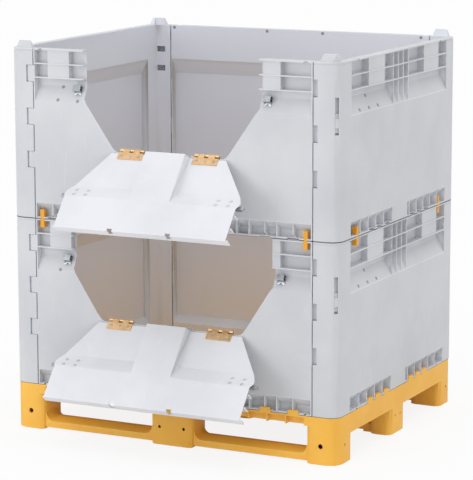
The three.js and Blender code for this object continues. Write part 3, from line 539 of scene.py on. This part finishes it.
def shell_object(name, shell):
    """An object from a shell, which is smooth but for its sharp edges."""
    for face in shell.faces:
        face.smooth = True
    for edge in shell.edges:
        edge.smooth = edge.calc_face_angle(0) < SHARP_TURN
    mesh = bpy.data.meshes.new(name)
    shell.to_mesh(mesh)
    shell.free()
    made = bpy.data.objects.new(name, mesh)
    bpy.context.scene.collection.objects.link(made)
    return made


# Fasteners and gate marks


def turned_head(name, rings):
    """A turned shape from rings of (radius, height, is_hexagonal), the last one about its middle."""
    shell = bmesh.new()
    loops = []
    for radius, height, is_hexagonal in rings:
        loop = []
        for step in range(HEAD_STEPS):
            angle = math.tau * step / HEAD_STEPS
            reach = radius
            if is_hexagonal:
                reach *= math.cos(math.pi / 6) / math.cos(angle % (math.pi / 3) - math.pi / 6)
            loop.append(shell.verts.new((reach * math.cos(angle), reach * math.sin(angle), height)))
        loops.append(loop)
    join_rings(shell, loops)
    return shell_object(name, shell)


def screw_head():
    """A pan head with a hexagonal socket, of radius 1."""
    return turned_head("pan head", (
        (1.0, -0.1, False), (1.0, 0.16, False), (0.93, 0.34, False), (0.74, 0.5, False),
        (0.52, 0.56, False), (0.42, 0.54, True), (0.4, 0.2, True), (0.12, 0.14, False)))


def rivet_head():
    """A flat rivet head with the small dent of its setting tool, of radius 1."""
    return turned_head("flat head", (
        (1.0, -0.1, False), (1.0, 0.06, False), (0.93, 0.16, False), (0.78, 0.22, False),
        (0.4, 0.26, False), (0.26, 0.26, False), (0.2, 0.18, False), (0.06, 0.17, False)))


def gate_head():
    """A moulding gate's trace: a flat ring with a nib in its middle, of radius 1."""
    return turned_head("gate trace", (
        (1.0, -0.1, False), (0.96, 0.1, False), (0.84, 0.14, False), (0.72, 0.04, False),
        (0.4, 0.02, False), (0.3, 0.2, False), (0.12, 0.26, False), (0.04, 0.26, False)))


def fastener_tree():
    """A node tree that sets a head on every point, along the point's facing and spun at random."""
    tree = bpy.data.node_groups.new("set fasteners", "GeometryNodeTree")
    sockets = tree.interface
    sockets.new_socket("Geometry", in_out="INPUT", socket_type="NodeSocketGeometry")
    sockets.new_socket("Head", in_out="INPUT", socket_type="NodeSocketObject")
    sockets.new_socket("Radius", in_out="INPUT", socket_type="NodeSocketFloat")
    sockets.new_socket("Finish", in_out="INPUT", socket_type="NodeSocketMaterial")
    sockets.new_socket("Geometry", in_out="OUTPUT", socket_type="NodeSocketGeometry")
    given = add(tree, "NodeGroupInput").outputs
    facing = add(tree, "GeometryNodeInputNamedAttribute",
                 {"data_type": "FLOAT_VECTOR", "Name": "facing"})
    stand = add(tree, "FunctionNodeAlignRotationToVector", {"axis": "Z"},
                {"Vector": facing.outputs["Attribute"]})
    spin = add(tree, "FunctionNodeRandomValue", {"data_type": "FLOAT", 3: math.pi / 3, "Seed": 7})
    about = add(tree, "ShaderNodeCombineXYZ", links={"Z": spin.outputs[1]})
    turn = add(tree, "FunctionNodeEulerToRotation", links={"Euler": about.outputs["Vector"]})
    spun = add(tree, "FunctionNodeRotateRotation", {"rotation_space": "LOCAL"},
               {"Rotation": stand.outputs["Rotation"], "Rotate By": turn.outputs["Rotation"]})
    head = add(tree, "GeometryNodeObjectInfo", links={"Object": given["Head"]})
    placed = add(tree, "GeometryNodeInstanceOnPoints",
                 links={"Points": given["Geometry"], "Instance": head.outputs["Geometry"],
                        "Rotation": spun.outputs["Rotation"], "Scale": given["Radius"]})
    real = add(tree, "GeometryNodeRealizeInstances", links={"Geometry": placed.outputs["Instances"]})
    finished = add(tree, "GeometryNodeSetMaterial",
                   links={"Geometry": real.outputs["Geometry"], "Material": given["Finish"]})
    add(tree, "NodeGroupOutput", links={"Geometry": finished.outputs["Geometry"]})
    return tree


def set_fasteners(name, body, spots, head, radius, material):
    """Sets a head of this radius on each spot of (place, facing), as one mesh that rides on a body."""
    mesh = bpy.data.meshes.new(name + "_spots")
    mesh.from_pydata([place for place, _ in spots], [], [])
    facing = mesh.attributes.new("facing", "FLOAT_VECTOR", "POINT")
    facing.data.foreach_set("vector", [part for _, way in spots for part in way])
    work = bpy.data.objects.new(name + "_work", mesh)
    tree = bpy.data.node_groups.get("set fasteners") or fastener_tree()
    setter = work.modifiers.new("fasteners", "NODES")
    setter.node_group = tree
    sockets = tree.interface.items_tree
    inputs = {socket.name: socket.identifier for socket in sockets if socket.in_out == "INPUT"}
    setter[inputs["Head"]] = head
    setter[inputs["Radius"]] = radius
    setter[inputs["Finish"]] = material
    bpy.context.scene.collection.objects.link(work)
    piece = converted(work, name)
    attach(piece, body)


def opened(tier, place, way):
    """A place and a way on the shut flap, turned to where the open flap has them."""
    hinge = JOINTS[f"{tier}_flap_hinge"]
    pivot = Vector(hinge["pos_m"])
    turn = Matrix.Rotation(math.radians(-hinge["range_deg"][0]), 3, "X")
    return pivot + turn @ (place - pivot), turn @ way


def slope_depth(drop):
    """How far in the slope's outer face lies at this distance under the collar's top."""
    return BAND_DEPTH * (SLOPE_FOOT_DROP - drop) / SLOPE_RISE


def hinge_screws(tier, way):
    """Spots of the screws in both hinges: way is 1 for the flap's leaves and -1 for the wall's."""
    pivot = Vector(JOINTS[f"{tier}_flap_hinge"]["pos_m"])
    inward = Vector((0, 1, 0))
    spots = []
    for side in SIDES:
        low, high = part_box(f"{tier}_{side}_hinge_wall_leaf")
        middle = (low.x + high.x) / 2
        for step in (-1, 0, 1):
            place = Vector((middle + step * HINGE_SCREW_PITCH, pivot.y + BARREL_RADIUS,
                            pivot.z + way * HINGE_SCREW_REACH))
            spots.append(opened(tier, place, inward) if way > 0 else (place, inward))
    return spots


def housing_rivets(tier):
    """Spots of the rivets that hold the bolt housings, on the inner side of the flap's slope."""
    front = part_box(f"{tier}_front_wall")[0].y
    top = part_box(f"{tier}_rear_wall")[1].z
    inward = Vector((0, SLOPE_RISE, -BAND_DEPTH)).normalized()
    spots = []
    for side in SIDES:
        low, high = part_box(f"{tier}_{side}_bolt_housing")
        middle = (low.x + high.x) / 2
        for way in (-1, 1):
            for drop in RIVET_DROPS:
                depth = SKIN + slope_depth(drop)
                place = Vector((middle + way * RIVET_REACH, front + depth, top - drop))
                spots.append(opened(tier, place, inward))
    return spots


def gate_marks(tier):
    """Spots of the gate marks: on the front and side walls' slopes and under the rear wall's rim."""
    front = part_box(f"{tier}_front_wall")[0].y
    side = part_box(f"{tier}_right_wall")[1].x
    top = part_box(f"{tier}_rear_wall")[1].z
    spots = []
    for x, drop in FRONT_MARKS[tier]:
        place = Vector((x, front + slope_depth(drop), top - drop))
        spots.append((place, Vector((0, -SLOPE_RISE, BAND_DEPTH))))
    for x in RIM_MARKS:
        spots.append((Vector((x, INSIDE_REACH[1], top - RIM_MARK_DROP)), Vector((0, -1, 0))))
    for way in (1, -1):
        for y, drop in SIDE_MARKS:
            place = Vector((way * (side - slope_depth(drop)), way * y, top - drop))
            spots.append((place, Vector((way * SLOPE_RISE, 0, BAND_DEPTH))))
    return spots


# Fork pockets


def fillet_section():
    """Section of a fork pocket's rounding, as (distance from the foot, height over the runner)."""
    section = [(-FILLET_ROOT, -FILLET_ROOT), (FILLET_RADIUS, -FILLET_ROOT)]
    for step in range(FILLET_STEPS + 1):
        angle = math.pi / 2 * step / FILLET_STEPS
        section.append((FILLET_RADIUS * (1 - math.sin(angle)), FILLET_RADIUS * (1 - math.cos(angle))))
    section.append((-FILLET_ROOT, FILLET_RADIUS))
    return section


def fillet_stations(runner, inward, end):
    """Places across a runner with its top's height at each, from its outer side to the foot's end."""
    low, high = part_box(runner)
    outer, inner = (low.y, high.y) if inward > 0 else (high.y, low.y)
    slope = RUNNER_RISE / RUNNER_BEVEL
    return (
        (outer + inward * FILLET_START, high.z - slope * (RUNNER_BEVEL - FILLET_START)),
        (outer + inward * RUNNER_BEVEL, high.z),
        (inner - inward * RUNNER_BEVEL, high.z),
        (inner - inward * end, high.z - slope * (RUNNER_BEVEL - end)),
    )


def pocket_fillets(material):
    """Rounds the fork pockets' lower corners, where the front and rear runners meet the feet."""
    section = fillet_section()
    shell = bmesh.new()
    for runner, inward in (("front_runner", 1), ("rear_runner", -1)):
        for side in (1, -1):
            for foot, away, end in FOOT_SIDES:
                rings = []
                for y, top in fillet_stations(runner, inward, end):
                    corners = [(side * (foot + away * reach), y, top + rise) for reach, rise in section]
                    rings.append([shell.verts.new(corner) for corner in corners])
                join_rings(shell, rings)
    bmesh.ops.recalc_face_normals(shell, faces=shell.faces)
    piece = shell_object("pocket_fillets", shell)
    piece.data.materials.append(material)
    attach(piece, "pallet")


# Properties


class PalletBinSizes(bpy.types.PropertyGroup):
    wall_rounding: bpy.props.FloatProperty(
        name="Wall rounding", description="Rounding of the collar and pallet edges",
        default=0.0013, min=0.0001, unit="LENGTH")
    foot_rounding: bpy.props.FloatProperty(
        name="Foot rounding", description="Rounding of a collar's lowest edges",
        default=0.003, min=0.0001, unit="LENGTH")
    small_rounding: bpy.props.FloatProperty(
        name="Small part rounding", description="Rounding of hinges, bolts and slides",
        default=0.0004, min=0.00005, unit="LENGTH")
    clip_rounding: bpy.props.FloatProperty(
        name="Clip rounding", description="Rounding of the joining clips",
        default=0.001, min=0.00005, unit="LENGTH")
    screw_radius: bpy.props.FloatProperty(
        name="Screw radius", description="Radius of a hinge screw's head",
        default=0.0044, unit="LENGTH")
    rivet_radius: bpy.props.FloatProperty(
        name="Rivet radius", description="Radius of a bolt housing's rivet head",
        default=0.0062, unit="LENGTH")
    gate_radius: bpy.props.FloatProperty(
        name="Gate mark radius", description="Radius of a gate mark on a wall",
        default=0.006, unit="LENGTH")


class PalletBinColours(bpy.types.PropertyGroup):
    wall: bpy.props.FloatVectorProperty(
        name="Wall", description="Colour of the collar walls",
        default=linear("#D2D4D8"), size=4, subtype="COLOR")
    # Paler than the walls: painted light, standing in for the light from above on the flaps' upturned faces
    flap: bpy.props.FloatVectorProperty(
        name="Flap", description="Colour of the flaps",
        default=linear("#E4E5EA"), size=4, subtype="COLOR")
    pallet: bpy.props.FloatVectorProperty(
        name="Pallet", description="Colour of the pallet",
        default=linear("#FCC24D"), size=4, subtype="COLOR")
    clip: bpy.props.FloatVectorProperty(
        name="Clip", description="Colour of the joining clips",
        default=linear("#F2A81E"), size=4, subtype="COLOR")
    brass: bpy.props.FloatVectorProperty(
        name="Brass", description="Colour of the hinges",
        default=linear("#E6C092"), size=4, subtype="COLOR")
    zinc: bpy.props.FloatVectorProperty(
        name="Zinc", description="Colour of the bolts and keepers",
        default=linear("#BFC3C7"), size=4, subtype="COLOR")


class PalletBinLight(bpy.types.PropertyGroup):
    key: bpy.props.FloatProperty(
        name="Key light", description="Strength of the overhead key light", default=0.6)
    window: bpy.props.FloatProperty(
        name="Window light", description="Power of the soft lamp at the front left",
        default=50.0, unit="POWER")
    sky: bpy.props.FloatProperty(
        name="Sky light", description="Strength of the even light all round", default=0.82)
    paper: bpy.props.FloatProperty(
        name="Floor glow", description="Share of plain white in the floor as the camera sees it",
        default=0.87, subtype="FACTOR")


# Operators


class PALLETBIN_OT_walls(bpy.types.Operator):
    """Finish the collar walls and lock slides in grey moulded plastic"""

    bl_idname = "palletbin.walls"
    bl_label = "Finish Collar Walls"

    def execute(self, context):
        sizes = context.scene.pallet_bin_sizes
        colours = context.scene.pallet_bin_colours
        seams = [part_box(f"{tier}_right_wall")[0].z for tier in TIERS]
        # Moulded high density polyethylene: even pale grey and satin. The inner faces get a paler, cooler colour:
        # painted light, standing in for light inside the bin and offsetting the pallet's warm bounce
        wall = moulded_plastic(
            "moulded grey polyethylene", colours.wall, linear("#C9CBD0"), linear("#E4E6EA"), 0.46,
            painted_inner_light=linear("#E2E6F0"), seams=seams)
        # The same, brighter: a painted highlight along the rounded edges
        edge = moulded_plastic(
            "grey polyethylene edge highlight", linear("#E2E4E8"), linear("#D6D8DC"), linear("#F0F2F5"), 0.5,
            seams=seams)
        nodes = of_tiers("{tier}_front_wall", "{tier}_rear_wall", "{tier}_{side}_wall")
        dress(nodes, sizes.wall_rounding, (wall, edge), sizes.foot_rounding)
        slides = of_tiers("{tier}_front_right_lock_slide", "{tier}_rear_left_lock_slide")
        dress(slides, sizes.small_rounding, (wall, edge))
        # The gates' traces are darker: painted shade, standing in for the small holes at these spots
        trace = moulded_plastic(
            "grey polyethylene with painted hole shade", linear("#A2A4A9"), linear("#94969B"), linear("#B6B8BD"), 0.6,
            grain_mm=1.0)
        head = gate_head()
        for tier in TIERS:
            set_fasteners(f"{tier}_gate_marks", f"{tier}_collar", gate_marks(tier), head,
                          sizes.gate_radius, trace)
        bpy.data.objects.remove(head)
        return {"FINISHED"}


class PALLETBIN_OT_flaps(bpy.types.Operator):
    """Finish the two flaps in pale moulded plastic"""

    bl_idname = "palletbin.flaps"
    bl_label = "Finish Flaps"

    def execute(self, context):
        sizes = context.scene.pallet_bin_sizes
        colours = context.scene.pallet_bin_colours
        # Moulded polyethylene, a little glossier than the walls. Its paler colour is painted light, standing in
        # for the light from above on the flaps' upturned faces
        flap = moulded_plastic(
            "moulded pale polyethylene", colours.flap, linear("#DBDCE1"), linear("#EFF0F4"), 0.42)
        # The same, nearly white: a painted highlight along the rounded edges
        edge = moulded_plastic(
            "pale polyethylene edge highlight", linear("#EEEFF3"), linear("#E3E5E9"), linear("#F6F7FA"), 0.46)
        dress(of_tiers("{tier}_flap"), sizes.wall_rounding, (flap, edge))
        return {"FINISHED"}


class PALLETBIN_OT_pallet(bpy.types.Operator):
    """Finish the pallet and its runners in amber moulded plastic"""

    bl_idname = "palletbin.pallet"
    bl_label = "Finish Pallet"

    def execute(self, context):
        sizes = context.scene.pallet_bin_sizes
        colours = context.scene.pallet_bin_colours
        # Moulded polyethylene in amber: warm and matt, a little uneven in its colour
        body = moulded_plastic(
            "moulded amber polyethylene", colours.pallet, linear("#F6B741"), linear("#FBD386"), 0.5)
        # The same, paler: a painted highlight along the rounded edges
        edge = moulded_plastic(
            "amber polyethylene edge highlight", linear("#FBCB70"), linear("#F6BC55"), linear("#FCDEA0"), 0.52)
        nodes = ["pallet_deck", "front_runner", "middle_runner", "rear_runner"]
        dress(nodes, sizes.wall_rounding, (body, edge))
        pocket_fillets(body)
        return {"FINISHED"}


class PALLETBIN_OT_clips(bpy.types.Operator):
    """Finish the joining clips in orange moulded plastic"""

    bl_idname = "palletbin.clips"
    bl_label = "Finish Clips"

    def execute(self, context):
        sizes = context.scene.pallet_bin_sizes
        colours = context.scene.pallet_bin_colours
        # Moulded nylon: a strong orange, smoother and glossier than the walls
        body = moulded_plastic(
            "moulded orange nylon", colours.clip, linear("#E79A14"), linear("#F7BE57"), 0.4,
            grain_mm=2.0)
        # The same, paler: a painted highlight along the rounded edges
        edge = moulded_plastic(
            "orange nylon edge highlight", linear("#F8BC4C"), linear("#F0AA30"), linear("#FBD083"), 0.42,
            grain_mm=2.0)
        nodes = [f"{end}_{side}_clip" for end in ("front", "rear") for side in SIDES]
        nodes += [f"{side}_{end}_side_clip" for end in ("front", "rear") for side in SIDES]
        dress(nodes, sizes.clip_rounding, (body, edge))
        return {"FINISHED"}


class PALLETBIN_OT_metalwork(bpy.types.Operator):
    """Finish the hinges, bolts and keepers in brass and zinc, with their screws and rivets"""

    bl_idname = "palletbin.metalwork"
    bl_label = "Finish Metalwork"

    def execute(self, context):
        sizes = context.scene.pallet_bin_sizes
        colours = context.scene.pallet_bin_colours
        # Rolled brass: warm, satin, with faint lines along the roll
        brass = sheet_metal("rolled brass sheet", colours.brass, linear("#CFA774"), 0.36)
        # Zinc plated steel: cool grey, satin, with faint patches
        zinc = sheet_metal("zinc plated steel sheet", colours.zinc, linear("#9CA1A6"), 0.3)
        hinges = of_tiers("{tier}_{side}_hinge_wall_leaf", "{tier}_{side}_hinge_flap_leaf")
        dress(hinges, sizes.small_rounding, (brass,))
        bolts = of_tiers("{tier}_{side}_bolt_housing", "{tier}_{side}_bolt", "{tier}_{side}_keeper")
        dress(bolts, sizes.small_rounding, (zinc,))
        # Set aluminium: paler and duller than the zinc
        rivet_metal = sheet_metal("set aluminium rivet", linear("#D3D5D9"), linear("#BEC1C5"), 0.5)
        screw = screw_head()
        rivet = rivet_head()
        for tier in TIERS:
            set_fasteners(f"{tier}_wall_hinge_screws", f"{tier}_collar", hinge_screws(tier, -1),
                          screw, sizes.screw_radius, zinc)
            set_fasteners(f"{tier}_flap_hinge_screws", f"{tier}_flap_panel", hinge_screws(tier, 1),
                          screw, sizes.screw_radius, zinc)
            set_fasteners(f"{tier}_housing_rivets", f"{tier}_flap_panel", housing_rivets(tier),
                          rivet, sizes.rivet_radius, rivet_metal)
        bpy.data.objects.remove(screw)
        bpy.data.objects.remove(rivet)
        return {"FINISHED"}


class PALLETBIN_OT_stage(bpy.types.Operator):
    """Set the floor, the lights and the camera"""

    bl_idname = "palletbin.stage"
    bl_label = "Set Stage"

    def execute(self, context):
        light = context.scene.pallet_bin_light
        context.scene.view_settings.view_transform = "Standard"
        lay_floor(context.scene, light.paper)
        light_sky(context.scene, light.sky)
        hang_lamps(context.scene, light)
        set_camera(context.scene)
        return {"FINISHED"}


def seen_part(tree, *rays):
    """1 where a ray is of one of these kinds, and 0 elsewhere."""
    path = add(tree, "ShaderNodeLightPath").outputs
    part = path[rays[0]]
    for ray in rays[1:]:
        both = add(tree, "ShaderNodeMath", {"operation": "MAXIMUM"}, {0: part, 1: path[ray]})
        part = both.outputs["Value"]
    return part


def lay_floor(scene, share):
    """A matt white paper floor, which the camera sees with a share of plain white, so it stays pale."""
    ways = ((-1, -1), (1, -1), (1, 1), (-1, 1))
    corners = [(x * FLOOR_REACH, y * FLOOR_REACH, 0) for x, y in ways]
    mesh = bpy.data.meshes.new("floor")
    mesh.from_pydata(corners, [], [(0, 1, 2, 3)])
    floor = bpy.data.objects.new("floor", mesh)
    scene.collection.objects.link(floor)
    paper = new_material("white paper floor")
    tree = paper.node_tree
    seen = seen_part(tree, "Is Camera Ray", "Is Glossy Ray")
    part = add(tree, "ShaderNodeMath", {"operation": "MULTIPLY", 1: share}, {0: seen})
    matt = add(tree, "ShaderNodeBsdfDiffuse", {"Color": linear("#F2F2F2")})
    glow = add(tree, "ShaderNodeEmission", {"Color": (1, 1, 1, 1), "Strength": 1.0})
    mix = add(tree, "ShaderNodeMixShader",
              links={0: part.outputs["Value"], 1: matt.outputs["BSDF"], 2: glow.outputs["Emission"]})
    add(tree, "ShaderNodeOutputMaterial", links={"Surface": mix.outputs["Shader"]})
    mesh.materials.append(paper)


def light_sky(scene, strength):
    """An even white world, plain white where the camera or a reflection sees it."""
    world = bpy.data.worlds.new("studio")
    scene.world = world
    world.use_nodes = True
    tree = world.node_tree
    tree.nodes.clear()
    seen = seen_part(tree, "Is Camera Ray", "Is Glossy Ray", "Is Transmission Ray")
    level = add(tree, "ShaderNodeMapRange", {"To Min": strength, "To Max": 1.0}, {"Value": seen})
    sky = add(tree, "ShaderNodeBackground", {"Color": (1, 1, 1, 1)},
              {"Strength": level.outputs["Result"]})
    add(tree, "ShaderNodeOutputWorld", links={"Surface": sky.outputs["Background"]})


def hang_lamps(scene, light):
    """A soft key from above and a large soft window lamp at the front left."""
    key = bpy.data.lights.new("key", "SUN")
    key.energy = light.key
    key.angle = KEY_SPREAD
    holder = bpy.data.objects.new("key", key)
    holder.rotation_euler = KEY_TURN
    scene.collection.objects.link(holder)
    window = bpy.data.lights.new("window", "AREA")
    window.energy = light.window
    window.size = WINDOW_SIZE
    holder = bpy.data.objects.new("window", window)
    holder.location = WINDOW_PLACE
    holder.rotation_euler = (WINDOW_AIM - WINDOW_PLACE).to_track_quat("-Z", "Y").to_euler()
    scene.collection.objects.link(holder)


def set_camera(scene):
    """The photograph's viewing angle."""
    camera = bpy.data.cameras.new("photo camera")
    camera.sensor_width = SENSOR_WIDTH_MM
    camera.lens = FOCAL_PIXELS / FRAME_PIXELS * camera.sensor_width
    camera.clip_end = CAMERA_SIGHT
    eye = bpy.data.objects.new("photo camera", camera)
    eye.location = CAMERA_PLACE
    eye.rotation_euler = CAMERA_TURN
    scene.collection.objects.link(eye)
    scene.camera = eye


class PALLETBIN_PT_sidebar(bpy.types.Panel):
    """Lists the finishing steps"""

    bl_idname = "PALLETBIN_PT_sidebar"
    bl_label = "Pallet Bin"
    bl_space_type = "VIEW_3D"
    bl_region_type = "UI"
    bl_category = "Pallet Bin"

    def draw(self, context):
        scene = context.scene
        for group in (scene.pallet_bin_sizes, scene.pallet_bin_colours, scene.pallet_bin_light):
            for name in group.__annotations__:
                self.layout.prop(group, name)
        for operator in OPERATORS:
            self.layout.operator(operator.bl_idname)


OPERATORS = (
    PALLETBIN_OT_walls,
    PALLETBIN_OT_flaps,
    PALLETBIN_OT_pallet,
    PALLETBIN_OT_clips,
    PALLETBIN_OT_metalwork,
    PALLETBIN_OT_stage,
)
GROUPS = {
    "pallet_bin_sizes": PalletBinSizes,
    "pallet_bin_colours": PalletBinColours,
    "pallet_bin_light": PalletBinLight,
}
CLASSES = (*GROUPS.values(), *OPERATORS, PALLETBIN_PT_sidebar)


def register():
    for kind in CLASSES:
        bpy.utils.register_class(kind)
    for name, group in GROUPS.items():
        setattr(bpy.types.Scene, name, bpy.props.PointerProperty(type=group))


def unregister():
    for name in GROUPS:
        delattr(bpy.types.Scene, name)
    for kind in reversed(CLASSES):
        bpy.utils.unregister_class(kind)


def main():
    register()
    bpy.ops.palletbin.walls()
    bpy.ops.palletbin.flaps()
    bpy.ops.palletbin.pallet()
    bpy.ops.palletbin.clips()
    bpy.ops.palletbin.metalwork()
    bpy.ops.palletbin.stage()


if __name__ == "__main__":
    main()
